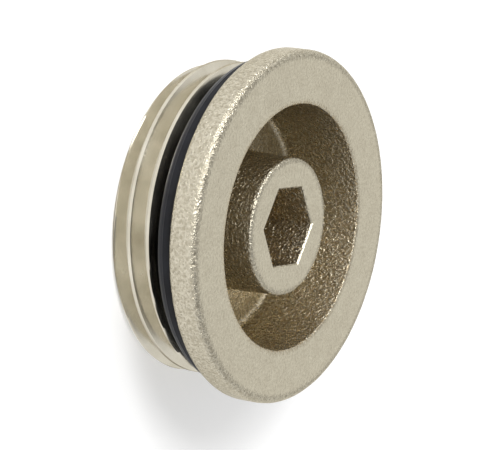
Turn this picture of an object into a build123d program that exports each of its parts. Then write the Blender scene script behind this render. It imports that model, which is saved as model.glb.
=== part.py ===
from build123d import *

import os
from math import radians, tan

# Manifold plug: a forged and turned screw plug with a flanged head, a ring-shaped recess round
# a key boss, a parallel pipe thread and a rubber sealing ring behind the flange.
# The plug stands on its thread end. The origin is the middle of that end face, and +Z runs
# along the axis to the head. Lengths are in millimetres and angles in degrees.

# Pipe thread G 1: 11 turns to the inch, flanks at 55 degrees, right-handed
thread_major_d = 33.249
thread_pitch = 25.4 / 11
thread_flank_angle = 55.0
thread_crest_flat = 0.385
thread_root_flat = 0.385
thread_length = 5.5
thread_lead_chamfer = 0.65
thread_start_angle = -11.0

# Turned neck between the thread and the head: the thread's relief and the ring's seat
neck_undercut = 0.05
neck_length = 3.0
neck_wall_angle = 20.0

# Head: a flange with rounded edges
flange_d = 37.4
flange_thickness = 3.3
flange_front_radius = 0.65
flange_back_radius = 0.8

# Ring-shaped recess in the head, with the draft of a forging die
recess_mouth_d = 26.0
recess_depth = 8.3
recess_draft = 3.6
recess_edge_radius = 0.15
recess_corner_radius = 0.7

# Boss in the middle of the recess, with the key socket
boss_d = 14.6
boss_drop = 0.55
boss_draft = 1.0
boss_edge_radius = 0.3
boss_root_radius = 0.7
socket_sides = 6
socket_across_flats = 8.1
socket_depth = 7.0
socket_draft = 0.5
socket_edge_chamfer = 0.15

# Rubber sealing ring of round section, on its seat against the flange
ring_section_d = 2.4
ring_clearance = 0.05

# Heights along the axis, from the thread end up
flange_back_z = thread_length + neck_length
face_z = flange_back_z + flange_thickness
floor_z = face_z - recess_depth
boss_z = face_z - boss_drop

# Thread form, as seen in a section through the axis
major_r = thread_major_d / 2
flank_slope = tan(radians(thread_flank_angle / 2))
groove_mouth = thread_pitch - thread_crest_flat
thread_depth = (groove_mouth - thread_root_flat) / 2 / flank_slope
minor_r = major_r - thread_depth
neck_r = minor_r - neck_undercut
neck_wall = (major_r - neck_r) * tan(radians(neck_wall_angle))

# The groove's cutter: how far it stands out of the blank, as a share of what would make it meet
# its own next turn, and how far it runs past the thread, in turns below and in all
cutter_overshoot_share = 0.3
cutter_turns_below = 1.0
cutter_turns_past = 1.5

# Edges are picked by height to within this distance
pick_tolerance = 0.001


def edges_at(part, height):
    """Edges of a part that lie flat at a height."""
    return part.edges().filter_by_position(Axis.Z, height - pick_tolerance, height + pick_tolerance)


def flange_rims(part):
    """The two widest circles of a part, the lower one first."""
    return part.edges().filter_by(GeomType.CIRCLE).sort_by(SortBy.RADIUS)[-2:].sort_by(Axis.Z)


# Thread groove: one trapezoid swept along a helix, from below the end face up into the neck
cutter_overshoot = cutter_overshoot_share * thread_crest_flat / flank_slope
cutter_depth = thread_depth + cutter_overshoot
cutter_mouth = groove_mouth + 2 * cutter_overshoot * flank_slope
with BuildPart() as thread_groove:
    with BuildLine(Plane.XY.offset(-cutter_turns_below * thread_pitch).rotated((0, 0, thread_start_angle))):
        groove_path = Helix(thread_pitch, thread_length + cutter_turns_past * thread_pitch, minor_r)
    groove_start = groove_path @ 0
    with BuildSketch(Plane(groove_start, x_dir=(groove_start.X, groove_start.Y, 0), z_dir=groove_path % 0)):
        with BuildLine():
            Polyline(
                (0, -thread_root_flat / 2),
                (cutter_depth, -cutter_mouth / 2),
                (cutter_depth, cutter_mouth / 2),
                (0, thread_root_flat / 2),
                close=True,
            )
        make_face()
    sweep(path=groove_path, is_frenet=True)

# Plug body: the turned blank, then the thread, the recess, the boss and the socket
with BuildPart() as plug_body:
    with BuildSketch(Plane.XZ):
        with BuildLine():
            Polyline(
                (0, 0),
                (major_r - thread_lead_chamfer, 0),
                (major_r, thread_lead_chamfer),
                (major_r, thread_length - neck_wall),
                (neck_r, thread_length),
                (neck_r, flange_back_z),
                (flange_d / 2, flange_back_z),
                (flange_d / 2, face_z),
                (0, face_z),
                close=True,
            )
        make_face()
    revolve(axis=Axis.Z)
    fillet(flange_rims(plug_body)[-1], radius=flange_front_radius)
    fillet(flange_rims(plug_body)[0], radius=flange_back_radius)
    add(thread_groove.part, mode=Mode.SUBTRACT)

    # Recess, as a tapered pocket over the whole mouth
    with BuildSketch(Plane.XY.offset(face_z)):
        Circle(recess_mouth_d / 2)
    extrude(amount=-recess_depth, taper=recess_draft, mode=Mode.SUBTRACT)
    fillet(edges_at(plug_body, face_z).sort_by(SortBy.RADIUS)[0], radius=recess_edge_radius)
    fillet(edges_at(plug_body, floor_z), radius=recess_corner_radius)

    # Boss, standing on the recess floor
    with BuildSketch(Plane.XY.offset(boss_z)):
        Circle(boss_d / 2)
    extrude(amount=floor_z - boss_z, taper=-boss_draft)
    fillet(edges_at(plug_body, boss_z), radius=boss_edge_radius)
    fillet(edges_at(plug_body, floor_z).sort_by(SortBy.RADIUS)[0], radius=boss_root_radius)

    # Key socket
    with BuildSketch(Plane.XY.offset(boss_z)):
        RegularPolygon(socket_across_flats / 2, socket_sides, major_radius=False)
    extrude(amount=-socket_depth, taper=socket_draft, mode=Mode.SUBTRACT)
    chamfer(edges_at(plug_body, boss_z).filter_by(GeomType.LINE), length=socket_edge_chamfer)
plug_body.part.label = "plug_body"

# Sealing ring
ring_r = ring_section_d / 2
with BuildPart() as sealing_ring:
    with BuildSketch(Plane.XZ):
        with Locations((neck_r + ring_clearance + ring_r, flange_back_z - ring_clearance - ring_r)):
            Circle(ring_r)
    revolve(axis=Axis.Z)
sealing_ring.part.label = "sealing_ring"

os.makedirs("parts", exist_ok=True)
export_step(plug_body.part, "parts/plug_body.step")
export_step(sealing_ring.part, "parts/sealing_ring.step")
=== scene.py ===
from math import cos, hypot, pi, radians, sin, tan

import bpy
from mathutils import Matrix, Vector


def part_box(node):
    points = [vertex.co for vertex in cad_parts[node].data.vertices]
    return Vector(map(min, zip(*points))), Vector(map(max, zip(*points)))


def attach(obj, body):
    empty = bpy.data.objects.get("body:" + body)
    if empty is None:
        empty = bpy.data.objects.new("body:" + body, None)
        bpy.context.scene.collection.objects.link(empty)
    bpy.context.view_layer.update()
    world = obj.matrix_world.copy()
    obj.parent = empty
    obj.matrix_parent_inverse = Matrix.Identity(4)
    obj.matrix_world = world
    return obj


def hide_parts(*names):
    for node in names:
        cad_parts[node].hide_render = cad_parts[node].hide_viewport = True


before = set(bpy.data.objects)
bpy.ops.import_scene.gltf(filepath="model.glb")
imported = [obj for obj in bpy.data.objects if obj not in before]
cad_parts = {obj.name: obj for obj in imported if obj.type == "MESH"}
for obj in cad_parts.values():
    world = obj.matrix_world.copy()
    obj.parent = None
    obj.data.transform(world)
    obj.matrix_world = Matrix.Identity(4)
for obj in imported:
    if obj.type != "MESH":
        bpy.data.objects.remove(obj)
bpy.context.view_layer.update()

# The plug's sizes are in millimetres, and become metres where its meshes are made. The studio is in metres.
MM = 0.001

# Outside sizes, read from the frame
plug_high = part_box("plug_body")[1]
ring_low, ring_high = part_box("sealing_ring")
face_z = plug_high.z / MM
flange_r = plug_high.x / MM
ring_outer_r = ring_high.x / MM
ring_section_r = (ring_high.z - ring_low.z) / 2 / MM
ring_z = (ring_high.z + ring_low.z) / 2 / MM

# Thread and turned neck
thread_major_r = 33.249 / 2
thread_pitch = 25.4 / 11
thread_depth = 1.479
thread_root_flat = 0.385
thread_flank_slope = tan(radians(27.5))
thread_length = 5.5
thread_start_angle = radians(-11)
thread_rounding = 0.16
thread_rows_per_turn = 26
lead_chamfer = 0.65
end_face_ring_r = 14.2
neck_undercut = 0.05
neck_r = thread_major_r - thread_depth - neck_undercut
neck_length = 3.0
neck_wall_slope = tan(radians(20))

# Head
flange_front_edge_r = 0.65
flange_back_edge_r = 0.8
recess_mouth_r = 26.0 / 2
recess_depth = 8.3
recess_slope = tan(radians(3.6))
recess_edge_r = 0.15
recess_corner_r = 0.7
boss_r = 14.6 / 2
boss_drop = 0.55
boss_slope = tan(radians(1))
boss_edge_r = 0.3
boss_root_r = 0.7
socket_apothem = 8.1 / 2
socket_depth = 7.0
socket_slope = tan(radians(0.5))
socket_edge = 0.15

# Fine line that the mould leaves round the sealing ring
flash_height = 0.05
flash_half_angle = radians(4)

# Forged skin: its strength where it was blasted, where a flat die pressed it and on the recess floor.
# Surfaces above the limit get the forged finish.
blasted = 1.0
pressed = 0.2
pocket_floor_skin = 0.6
skin_limit = 0.15

# Low lumps of the skin: noise at the level leaves the surface in place, and lower noise sinks it
skin_height = 0.045
skin_level = 0.85
skin_scale = 900.0
skin_detail = 2.0
skin_roughness = 0.55

# Painted shade in the recess, a darker brown tint in the pits: its share on the recess walls and floor and
# in the socket
recess_wall_shade = 0.7
recess_floor_shade = 0.3
socket_shade = 1.0

# Mesh density, seams and sharp edges
turn_steps = 420
ring_steps = 60
row_spacing = 0.45
arc_step = radians(15)
merge_distance = 0.002
sharp_angle = radians(40)

# Noise lies mostly between these two values
noise_low = 0.3
noise_high = 0.7

# Camera, from the fit of the photograph: 500 by 450 pixels
frame_width = 500
focal_length_px = 3641.0
face_centre_px = (292.9, 227.5)
frame_centre_px = (250.0, 225.0)
sensor_width_mm = 36.0
camera_distance = 0.381
camera_clip_start = 0.01
photo_right = Vector((0.5304, 0.0711, 0.8448))
photo_up = Vector((0.0685, 0.9896, -0.1262))
photo_near = Vector((-0.8450, 0.1247, 0.5200))

# The floor lies a hair under the end face, so that the two faces aren't in one plane
floor_half = 1.5
floor_drop = 0.02 * MM


class Profile:
    """Half outline of a turned piece, as rows of radius, height and marks, in millimetres.

    The share of painted shade in the recess is kept here, and goes to each row that is added.
    """

    def __init__(self):
        self.rows = []
        self.recess_shade = 0.0

    def add(self, r, z, skin=0.0, hexagon=0.0, threaded=0.0):
        self.rows.append((r, z, skin, hexagon, threaded, self.recess_shade))

    def line(self, r, z, skin=0.0, hexagon=0.0):
        """Straight run to a point, in even steps; the hexagon mark changes evenly along it."""
        start_r, start_z, _, start_hexagon, *_ = self.rows[-1]
        steps = max(1, round(hypot(r - start_r, z - start_z) / row_spacing))
        for i in range(1, steps + 1):
            part = i / steps
            self.add(start_r + (r - start_r) * part, start_z + (z - start_z) * part, skin,
                     start_hexagon + (hexagon - start_hexagon) * part)

    def arc(self, centre_r, centre_z, radius, start, end, skin=0.0):
        """Arc between two angles in degrees, measured from the radial direction."""
        turn = radians(end - start)
        steps = max(2, round(abs(turn) / arc_step))
        for i in range(steps + 1):
            angle = radians(start) + turn * i / steps
            self.add(centre_r + radius * cos(angle), centre_z + radius * sin(angle), skin)

    def mesh(self, name):
        """The rows as a chain of points, with the marks as attributes, in metres."""
        mesh = bpy.data.meshes.new(name)
        points = [(r * MM, 0, z * MM) for r, z, *_ in self.rows]
        mesh.from_pydata(points, [(i, i + 1) for i in range(len(points) - 1)], [])
        for column, mark in enumerate(("skin", "hexagon", "threaded", "recess_shade"), start=2):
            attribute = mesh.attributes.new(mark, "FLOAT", "POINT")
            attribute.data.foreach_set("value", [row[column] for row in self.rows])
        return mesh


def plug_profile():
    """Outline of the plug from the middle of its end face, round the outside, to the socket floor."""
    profile = Profile()
    profile.add(0, 0)
    profile.line(end_face_ring_r, 0)

    # Thread rows climb one pitch in a turn, so they begin a pitch below the end face to cover it all round
    row_height = thread_pitch / thread_rows_per_turn
    first_row = -thread_rows_per_turn
    last_row = int(thread_length / row_height) + 1
    for row in range(first_row, last_row + 1):
        profile.add(thread_major_r, row * row_height, threaded=1.0)

    # Neck and flange
    flange_back_z = thread_length + neck_length
    profile.add(neck_r, thread_length)
    profile.line(neck_r, flange_back_z)
    profile.line(flange_r - flange_back_edge_r, flange_back_z)
    profile.arc(flange_r - flange_back_edge_r, flange_back_z + flange_back_edge_r,
                flange_back_edge_r, -90, 0, skin=blasted)
    profile.line(flange_r, face_z - flange_front_edge_r, skin=blasted)
    profile.arc(flange_r - flange_front_edge_r, face_z - flange_front_edge_r,
                flange_front_edge_r, 0, 90, skin=blasted)
    profile.line(recess_mouth_r + recess_edge_r, face_z, skin=pressed)

    # Recess: its rows carry a share of painted shade
    floor_z = face_z - recess_depth
    recess_floor_r = recess_mouth_r - recess_depth * recess_slope
    profile.recess_shade = recess_wall_shade
    profile.arc(recess_mouth_r + recess_edge_r, face_z - recess_edge_r,
                recess_edge_r, 90, 180, skin=blasted)
    profile.line(recess_floor_r + recess_corner_r * recess_slope, floor_z + recess_corner_r,
                 skin=blasted)
    profile.recess_shade = recess_floor_shade
    profile.arc(recess_floor_r - recess_corner_r, floor_z + recess_corner_r,
                recess_corner_r, 0, -90, skin=pocket_floor_skin)

    # Boss
    boss_z = face_z - boss_drop
    boss_base_r = boss_r + (boss_z - floor_z) * boss_slope
    profile.line(boss_base_r + boss_root_r, floor_z, skin=pocket_floor_skin)
    profile.arc(boss_base_r + boss_root_r, floor_z + boss_root_r,
                boss_root_r, -90, -180, skin=pocket_floor_skin)
    profile.recess_shade = recess_wall_shade
    profile.line(boss_r, boss_z - boss_edge_r, skin=blasted)
    profile.recess_shade = 0.0
    profile.arc(boss_r - boss_edge_r, boss_z - boss_edge_r, boss_edge_r, 0, 90, skin=blasted)

    # Key socket: below its edge the rows carry the fullest painted shade
    socket_floor_z = boss_z - socket_depth
    socket_floor_apothem = socket_apothem - socket_depth * socket_slope
    profile.line(socket_apothem + socket_edge, boss_z, skin=pressed, hexagon=1.0)
    profile.line(socket_apothem, boss_z - socket_edge, skin=blasted, hexagon=1.0)
    profile.recess_shade = socket_shade
    profile.line(socket_floor_apothem, socket_floor_z, skin=blasted, hexagon=1.0)
    profile.line(0, socket_floor_z, skin=blasted, hexagon=1.0)
    return profile


def ring_profile():
    """Round section of the sealing ring, with the mould's line on the outside."""
    profile = Profile()
    centre_r = ring_outer_r - ring_section_r
    for i in range(ring_steps + 1):
        angle = -pi + 2 * pi * i / ring_steps
        radius = ring_section_r - flash_height
        if abs(angle) < flash_half_angle:
            radius = ring_section_r
        profile.add(centre_r + radius * cos(angle), ring_z + radius * sin(angle))
    return profile


class Nodes:
    """Short forms for building one node tree."""

    def __init__(self, tree):
        self.tree = tree

    def new(self, kind, inputs=None, **settings):
        """A new node with its settings made first and then its inputs."""
        node = self.tree.nodes.new(kind)
        for name, value in settings.items():
            setattr(node, name, value)
        self.fill(node, inputs or {})
        return node

    def fill(self, node, inputs):
        """Gives each input a link, where its value is a socket, or else a constant."""
        for key, value in inputs.items():
            socket = self.input(node, key)
            if isinstance(value, bpy.types.NodeSocket):
                self.tree.links.new(value, socket)
            else:
                socket.default_value = value

    def input(self, node, key):
        if isinstance(key, int):
            return node.inputs[key]
        return next(s for s in node.inputs if s.name == key and s.enabled)

    def output(self, node, key):
        return next(s for s in node.outputs if s.name == key and s.enabled)

    def math(self, operation, *values):
        node = self.new("ShaderNodeMath", dict(enumerate(values)), operation=operation)
        return node.outputs[0]


def add_socket(tree, name, kind, in_out="INPUT"):
    tree.interface.new_socket(name, in_out=in_out, socket_type=kind)


def lathe_tree():
    """Turns a chain of points about Z; threaded rows follow a helix, hexagon rows a hexagon."""
    tree = bpy.data.node_groups.new("lathe", "GeometryNodeTree")
    add_socket(tree, "Geometry", "NodeSocketGeometry", "OUTPUT")
    add_socket(tree, "Geometry", "NodeSocketGeometry")
    add_socket(tree, "Turn Steps", "NodeSocketInt")
    for name in ("Merge Distance", "Pitch", "Major Radius", "Thread Depth", "Root Flat", "Flank Slope",
                 "Start Angle", "Rounding", "Thread Length", "Lead Chamfer", "Neck Radius", "Neck Slope",
                 "Skin Height", "Skin Level", "Skin Scale", "Skin Detail", "Skin Roughness", "Skin Limit"):
        add_socket(tree, name, "NodeSocketFloat")
    add_socket(tree, "Turned Finish", "NodeSocketMaterial")
    add_socket(tree, "Skin Finish", "NodeSocketMaterial")
    n = Nodes(tree)
    given = n.new("NodeGroupInput").outputs
    profile = given["Geometry"]

    # A grid with a column for each turning step and a row for each point of the profile
    row_count = n.new("GeometryNodeAttributeDomainSize", {"Geometry": profile}).outputs["Point Count"]
    columns = n.math("ADD", given["Turn Steps"], 1)
    grid = n.new("GeometryNodeMeshGrid", {"Size X": 1.0, "Size Y": 1.0, "Vertices X": columns,
                                          "Vertices Y": row_count})
    place = n.new("ShaderNodeSeparateXYZ", {0: n.new("GeometryNodeInputPosition").outputs[0]})
    turn = n.math("ADD", place.outputs["X"], 0.5)
    row = n.math("ROUND", n.math("MULTIPLY", n.math("ADD", place.outputs["Y"], 0.5),
                                 n.math("SUBTRACT", row_count, 1)))

    def attribute(name):
        node = n.new("GeometryNodeInputNamedAttribute", {"Name": name}, data_type="FLOAT")
        return n.output(node, "Attribute")

    def sampled(value, kind):
        node = n.new("GeometryNodeSampleIndex", {"Geometry": profile, "Value": value, "Index": row},
                     data_type=kind, domain="POINT")
        return n.output(node, "Value")

    def mark(name):
        return sampled(attribute(name), "FLOAT")

    point = sampled(n.new("GeometryNodeInputPosition").outputs[0], "FLOAT_VECTOR")
    outline = n.new("ShaderNodeSeparateXYZ", {0: point})
    angle = n.math("MULTIPLY", turn, 2 * pi)

    # Hexagon rows: the radius is the apothem, and corners lie every 60 degrees from +X
    corner_turn = pi / 3
    wedge = n.math("SUBTRACT", n.math("FLOORED_MODULO", angle, corner_turn), corner_turn / 2)
    corner_reach = n.math("SUBTRACT", n.math("DIVIDE", 1.0, n.math("COSINE", wedge)), 1.0)
    reach = n.math("MULTIPLY_ADD", corner_reach, mark("hexagon"), 1.0)
    plain_radius = n.math("MULTIPLY", outline.outputs["X"], reach)

    # Threaded rows: the height climbs one pitch in a turn, between the end face and the neck
    pitch = given["Pitch"]
    climb = n.math("MULTIPLY_ADD", turn, pitch, outline.outputs["Z"])
    height = n.math("MAXIMUM", 0.0, n.math("MINIMUM", climb, given["Thread Length"]))

    # The radius there is the least of the thread's form, the lead chamfer and the wall by the neck
    start_turn = n.math("DIVIDE", given["Start Angle"], 2 * pi)
    phase = n.math("ADD", n.math("SUBTRACT", n.math("DIVIDE", height, pitch), turn), start_turn)
    from_groove = n.math("PINGPONG", phase, 0.5)
    flank_run = n.math("SUBTRACT", n.math("MULTIPLY", from_groove, pitch),
                       n.math("MULTIPLY", given["Root Flat"], 0.5))
    root_radius = n.math("SUBTRACT", given["Major Radius"], given["Thread Depth"])
    flank = n.math("ADD", root_radius, n.math("DIVIDE", flank_run, given["Flank Slope"]))
    crest = n.math("SMOOTH_MIN", flank, given["Major Radius"], given["Rounding"])
    form = n.math("SMOOTH_MAX", crest, root_radius, given["Rounding"])
    lead = n.math("ADD", n.math("SUBTRACT", given["Major Radius"], given["Lead Chamfer"]), height)
    from_neck = n.math("SUBTRACT", given["Thread Length"], height)
    neck_wall = n.math("ADD", given["Neck Radius"], n.math("DIVIDE", from_neck, given["Neck Slope"]))
    thread_radius = n.math("MINIMUM", form, n.math("MINIMUM", lead, neck_wall))

    # Each row takes the thread's place or the plain one
    threaded = mark("threaded")

    def chosen(plain, thread):
        return n.math("MULTIPLY_ADD", n.math("SUBTRACT", thread, plain), threaded, plain)

    radius = chosen(plain_radius, thread_radius)
    placed = n.new("ShaderNodeCombineXYZ", {
        "X": n.math("MULTIPLY", radius, n.math("COSINE", angle)),
        "Y": n.math("MULTIPLY", radius, n.math("SINE", angle)),
        "Z": chosen(outline.outputs["Z"], height),
    })
    marked = grid.outputs["Mesh"]
    # The skin mark and the share of painted shade in the recess go to each point
    for name in ("skin", "recess_shade"):
        kept = n.new("GeometryNodeStoreNamedAttribute",
                     {"Geometry": marked, "Name": name, "Value": mark(name)},
                     data_type="FLOAT", domain="POINT")
        marked = kept.outputs["Geometry"]
    turned = n.new("GeometryNodeSetPosition", {"Geometry": marked, "Position": placed.outputs[0]})
    closed = n.new("GeometryNodeMergeByDistance", {"Geometry": turned.outputs["Geometry"],
                                                   "Distance": given["Merge Distance"]})

    # Low lumps of the forged skin, along the surface's own direction
    skin = attribute("skin")
    lumps = n.new("ShaderNodeTexNoise", {"Scale": given["Skin Scale"], "Detail": given["Skin Detail"],
                                         "Roughness": given["Skin Roughness"]})
    lift = n.math("MULTIPLY", n.math("SUBTRACT", lumps.outputs[0], given["Skin Level"]),
                  given["Skin Height"])
    offset = n.new("ShaderNodeVectorMath", {0: n.new("GeometryNodeInputNormal").outputs[0],
                                            "Scale": n.math("MULTIPLY", lift, skin)},
                   operation="SCALE")
    lumpy = n.new("GeometryNodeSetPosition", {"Geometry": closed.outputs["Geometry"],
                                              "Offset": offset.outputs[0]})

    # Turned finish everywhere, and then the forged one on the skin
    realized = n.new("GeometryNodeRealizeInstances", {"Geometry": lumpy.outputs["Geometry"]})
    bare = n.new("GeometryNodeSetMaterial", {"Geometry": realized.outputs["Geometry"],
                                             "Material": given["Turned Finish"]})
    is_skin = n.new("FunctionNodeCompare", {"A": skin, "B": given["Skin Limit"]},
                    data_type="FLOAT", operation="GREATER_THAN")
    finished = n.new("GeometryNodeSetMaterial", {"Geometry": bare.outputs["Geometry"],
                                                 "Selection": is_skin.outputs[0],
                                                 "Material": given["Skin Finish"]})
    n.new("NodeGroupOutput", {"Geometry": finished.outputs["Geometry"]})
    return tree


def turned_piece(name, profile, tree, sizes):
    """A plain mesh object made by the lathe tree from a profile."""
    piece = bpy.data.objects.new(name, profile.mesh(name + "_profile"))
    bpy.context.scene.collection.objects.link(piece)
    lathe = piece.modifiers.new("lathe", "NODES")
    lathe.node_group = tree
    for item in tree.interface.items_tree:
        if item.in_out == "INPUT" and item.name in sizes:
            lathe[item.identifier] = sizes[item.name]
    bpy.context.view_layer.update()
    evaluated = piece.evaluated_get(bpy.context.evaluated_depsgraph_get())
    mesh = bpy.data.meshes.new_from_object(evaluated)
    piece.modifiers.remove(lathe)
    piece.data = mesh
    mesh.shade_smooth()
    mesh.set_sharp_from_angle(angle=sharp_angle)
    return piece


def new_material(name):
    """A material with its node helper, its shader and the object's own coordinates."""
    material = bpy.data.materials.new(name)
    material.use_nodes = True
    n = Nodes(material.node_tree)
    shader = material.node_tree.nodes["Principled BSDF"]
    place = n.new("ShaderNodeTexCoord").outputs["Object"]
    return material, n, shader, place


def noise(n, place, scale, detail=2.0):
    """Noise with a scale per metre."""
    node = n.new("ShaderNodeTexNoise", {"Vector": place, "Scale": scale, "Detail": detail})
    return node.outputs[0]


def ramp(n, value, low, high, low_colour, high_colour):
    """Colour that changes evenly while a value goes from low to high."""
    node = n.new("ShaderNodeValToRGB", {"Fac": value})
    first, last = node.color_ramp.elements
    first.position = low
    first.color = (*low_colour, 1)
    last.position = high
    last.color = (*high_colour, 1)
    return node.outputs["Color"]


def span(n, value, low, high, from_low=noise_low, from_high=noise_high):
    """Number that changes evenly from low to high over a value's range."""
    node = n.new("ShaderNodeMapRange", {"Value": value, "From Min": from_low, "From Max": from_high,
                                        "To Min": low, "To Max": high})
    return node.outputs[0]


def forged_nickel():
    """Nickel over a blasted forging: pale warm grey, with a sharp sparkling grain, and painted shade in the
    recess.
    """
    edge_tint = (0.82, 0.79, 0.71, 1)
    even_dark = (0.515, 0.472, 0.368)
    even_light = (0.57, 0.528, 0.415)
    tone_scale = 700
    tone_detail = 3
    pit_colour = (0.27, 0.235, 0.17)
    peak_colour = (0.57, 0.53, 0.435)
    pit_height = 0.46
    peak_height = 0.74
    pitted_share = 0.55
    grain_scale = 3300
    fine_scale = 9000
    fine_share = 0.25
    grain_depth = 0.2 * MM
    pit_roughness = 0.36
    peak_roughness = 0.2
    shade_tint = (0.92, 0.77, 0.57, 1)
    full_shade_height = 0.5
    no_shade_height = 0.76

    material, n, shader, place = new_material("forged_nickel")
    skin = n.new("ShaderNodeAttribute", attribute_name="skin").outputs["Fac"]
    # Share of painted shade in the recess, from the profile
    recess_shade = n.new("ShaderNodeAttribute", attribute_name="recess_shade").outputs["Fac"]
    tone = noise(n, place, tone_scale, tone_detail)
    grain = noise(n, place, grain_scale)
    height = n.math("MULTIPLY_ADD", noise(n, place, fine_scale), fine_share, grain)

    # Even colour where the die pressed, pits and peaks where the skin is strong
    even = ramp(n, tone, noise_low, noise_high, even_dark, even_light)
    pitted = ramp(n, height, pit_height, peak_height, pit_colour, peak_colour)
    colour = n.new("ShaderNodeMix", {"Factor": n.math("MULTIPLY", skin, pitted_share),
                                     "A": even, "B": pitted}, data_type="RGBA")

    # Painted shade: in the recess the pits are tinted darker and browner, by the recess's share of shade
    pit_shade = span(n, height, 1.0, 0.0, full_shade_height, no_shade_height)
    recess_shaded = n.new("ShaderNodeMix", {"Factor": n.math("MULTIPLY", recess_shade, pit_shade),
                                   "A": n.output(colour, "Result"), "B": shade_tint},
                 data_type="RGBA", blend_type="MULTIPLY")
    bump = n.new("ShaderNodeBump", {"Strength": skin, "Distance": grain_depth, "Height": height})
    n.fill(shader, {"Metallic": 1.0, "Specular Tint": edge_tint, "Base Color": n.output(recess_shaded, "Result"),
                    "Roughness": span(n, grain, pit_roughness, peak_roughness),
                    "Normal": bump.outputs[0]})
    return material


def turned_nickel():
    """Nickel over a turned face: brighter, with fine lines round the axis."""
    edge_tint = (0.5, 0.46, 0.38, 1)
    dark = (0.53, 0.495, 0.405)
    light = (0.68, 0.645, 0.55)
    tone_scale = 260
    tone_detail = 3
    line_stretch = (0.06, 0.06, 1.0)
    line_scale = 9000
    line_strength = 0.35
    line_depth = 0.01 * MM
    low_roughness = 0.17
    high_roughness = 0.28

    material, n, shader, place = new_material("turned_nickel")
    tone = noise(n, place, tone_scale, tone_detail)
    stretched = n.new("ShaderNodeMapping", {"Vector": place, "Scale": line_stretch}).outputs[0]
    lines = noise(n, stretched, line_scale)
    bump = n.new("ShaderNodeBump", {"Strength": line_strength, "Distance": line_depth, "Height": lines})
    n.fill(shader, {"Metallic": 1.0, "Specular Tint": edge_tint,
                    "Base Color": ramp(n, tone, noise_low, noise_high, dark, light),
                    "Roughness": span(n, tone, low_roughness, high_roughness),
                    "Normal": bump.outputs[0]})
    return material


def black_rubber():
    """Moulded rubber: satin black with a faint bloom."""
    dark = (0.004, 0.004, 0.006)
    light = (0.012, 0.013, 0.017)
    bloom_scale = 420
    bloom_detail = 3
    bloom_low = 0.35
    bloom_high = 0.75
    grain_scale = 7000
    grain_strength = 0.3
    grain_depth = 0.02 * MM
    specular_level = 0.2
    low_roughness = 0.3
    high_roughness = 0.45

    material, n, shader, place = new_material("black_rubber")
    bloom = noise(n, place, bloom_scale, bloom_detail)
    bump = n.new("ShaderNodeBump", {"Strength": grain_strength, "Distance": grain_depth,
                                    "Height": noise(n, place, grain_scale)})
    n.fill(shader, {"Specular IOR Level": specular_level,
                    "Base Color": ramp(n, bloom, bloom_low, bloom_high, dark, light),
                    "Roughness": span(n, bloom, low_roughness, high_roughness),
                    "Normal": bump.outputs[0]})
    return material


def seen_ray(n):
    """1 for rays of the camera, of reflections and of glass, else 0."""
    path = n.new("ShaderNodeLightPath").outputs
    seen = n.math("MAXIMUM", path["Is Camera Ray"], path["Is Glossy Ray"])
    return n.math("MAXIMUM", seen, path["Is Transmission Ray"])


def pale_floor():
    """White to the eye and in reflections, and it keeps the plug's shadow."""
    floor_colour = (0.78, 0.78, 0.78, 1)
    glow_strength = 0.28

    material = bpy.data.materials.new("pale_floor")
    material.use_nodes = True
    n = Nodes(material.node_tree)
    material.node_tree.nodes.clear()
    matt = n.new("ShaderNodeBsdfDiffuse", {"Color": floor_colour})
    glow = n.new("ShaderNodeEmission", {"Strength": n.math("MULTIPLY", seen_ray(n), glow_strength)})
    both = n.new("ShaderNodeAddShader", {0: matt.outputs[0], 1: glow.outputs[0]})
    n.new("ShaderNodeOutputMaterial", {"Surface": both.outputs[0]})
    return material


def add_camera():
    """Camera at the photograph's place, turned so that the face's centre falls on its pixel."""
    aim = -photo_near
    aim -= photo_right * ((face_centre_px[0] - frame_centre_px[0]) / focal_length_px)
    aim += photo_up * ((face_centre_px[1] - frame_centre_px[1]) / focal_length_px)
    back = -aim.normalized()
    right = (photo_right - back * photo_right.dot(back)).normalized()
    up = back.cross(right)
    data = bpy.data.cameras.new("camera")
    data.sensor_fit = "HORIZONTAL"
    data.sensor_width = sensor_width_mm
    data.lens = sensor_width_mm * focal_length_px / frame_width
    data.clip_start = camera_clip_start
    camera = bpy.data.objects.new("camera", data)
    bpy.context.scene.collection.objects.link(camera)
    face_centre = Vector((0, 0, face_z * MM))
    facing = Matrix((right, up, back)).transposed().to_4x4()
    camera.matrix_world = Matrix.Translation(face_centre + photo_near * camera_distance) @ facing
    bpy.context.scene.camera = camera


def add_lamp(name, direction, distance, size, power):
    """Square lamp that shines on the plug from a direction."""
    towards_lamp = direction.normalized()
    data = bpy.data.lights.new(name, "AREA")
    data.size = size
    data.energy = power
    lamp = bpy.data.objects.new(name, data)
    bpy.context.scene.collection.objects.link(lamp)
    lamp.location = towards_lamp * distance
    lamp.rotation_euler = towards_lamp.to_track_quat("Z", "Y").to_euler()


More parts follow.
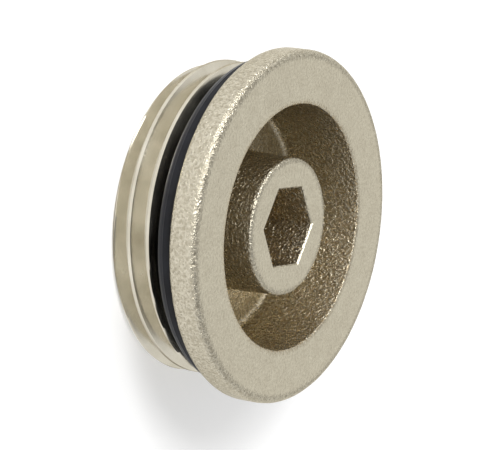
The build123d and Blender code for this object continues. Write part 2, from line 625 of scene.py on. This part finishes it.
def add_world():
    """White walls all round, under a dimmer ceiling."""
    white = (1, 1, 1, 1)
    wall_strength = 1.08
    ceiling_strength = 0.3
    wall_top = 0.55
    ceiling_edge = 0.85

    world = bpy.data.worlds.new("studio")
    world.use_nodes = True
    n = Nodes(world.node_tree)
    world.node_tree.nodes.clear()
    direction = n.new("ShaderNodeTexCoord").outputs["Generated"]
    rise = n.new("ShaderNodeSeparateXYZ", {0: direction}).outputs["Z"]
    strength = n.new("ShaderNodeMapRange",
                     {"Value": rise, "From Min": wall_top, "From Max": ceiling_edge,
                      "To Min": wall_strength, "To Max": ceiling_strength},
                     interpolation_type="SMOOTHSTEP")
    light = n.new("ShaderNodeBackground", {"Color": white, "Strength": strength.outputs[0]})
    n.new("ShaderNodeOutputWorld", {"Surface": light.outputs[0]})
    bpy.context.scene.world = world


def add_floor():
    """Square floor that the plug stands on."""
    corner_signs = ((-1, -1), (1, -1), (1, 1), (-1, 1))
    corners = [(x * floor_half, y * floor_half, -floor_drop) for x, y in corner_signs]
    mesh = bpy.data.meshes.new("floor")
    mesh.from_pydata(corners, [], [(0, 1, 2, 3)])
    mesh.materials.append(pale_floor())
    floor = bpy.data.objects.new("floor", mesh)
    bpy.context.scene.collection.objects.link(floor)


# Pieces
lathe_nodes = lathe_tree()
plug_sizes = {
    "Turn Steps": turn_steps,
    "Merge Distance": merge_distance * MM,
    "Pitch": thread_pitch * MM,
    "Major Radius": thread_major_r * MM,
    "Thread Depth": thread_depth * MM,
    "Root Flat": thread_root_flat * MM,
    "Flank Slope": thread_flank_slope,
    "Start Angle": thread_start_angle,
    "Rounding": thread_rounding * MM,
    "Thread Length": thread_length * MM,
    "Lead Chamfer": lead_chamfer * MM,
    "Neck Radius": neck_r * MM,
    "Neck Slope": neck_wall_slope,
    "Skin Height": skin_height * MM,
    "Skin Level": skin_level,
    "Skin Scale": skin_scale,
    "Skin Detail": skin_detail,
    "Skin Roughness": skin_roughness,
    "Skin Limit": skin_limit,
    "Turned Finish": turned_nickel(),
    "Skin Finish": forged_nickel(),
}
plug = turned_piece("plug", plug_profile(), lathe_nodes, plug_sizes)
rubber = black_rubber()
ring_sizes = {**plug_sizes, "Turned Finish": rubber, "Skin Finish": rubber}
ring = turned_piece("ring", ring_profile(), lathe_nodes, ring_sizes)

for piece, node, slot in ((plug, "plug_body", "nickel_plate"), (ring, "sealing_ring", "black_rubber")):
    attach(piece, "root")
    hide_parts(node)

# Studio
add_floor()
add_world()
add_camera()
add_lamp("key", direction=Vector((-0.52, 0.5, 0.64)), distance=0.45, size=0.13, power=0.9)
add_lamp("top", direction=Vector((-0.26, 0.62, 0.75)), distance=0.45, size=0.26, power=0.85)
bpy.context.scene.view_settings.view_transform = "Standard"
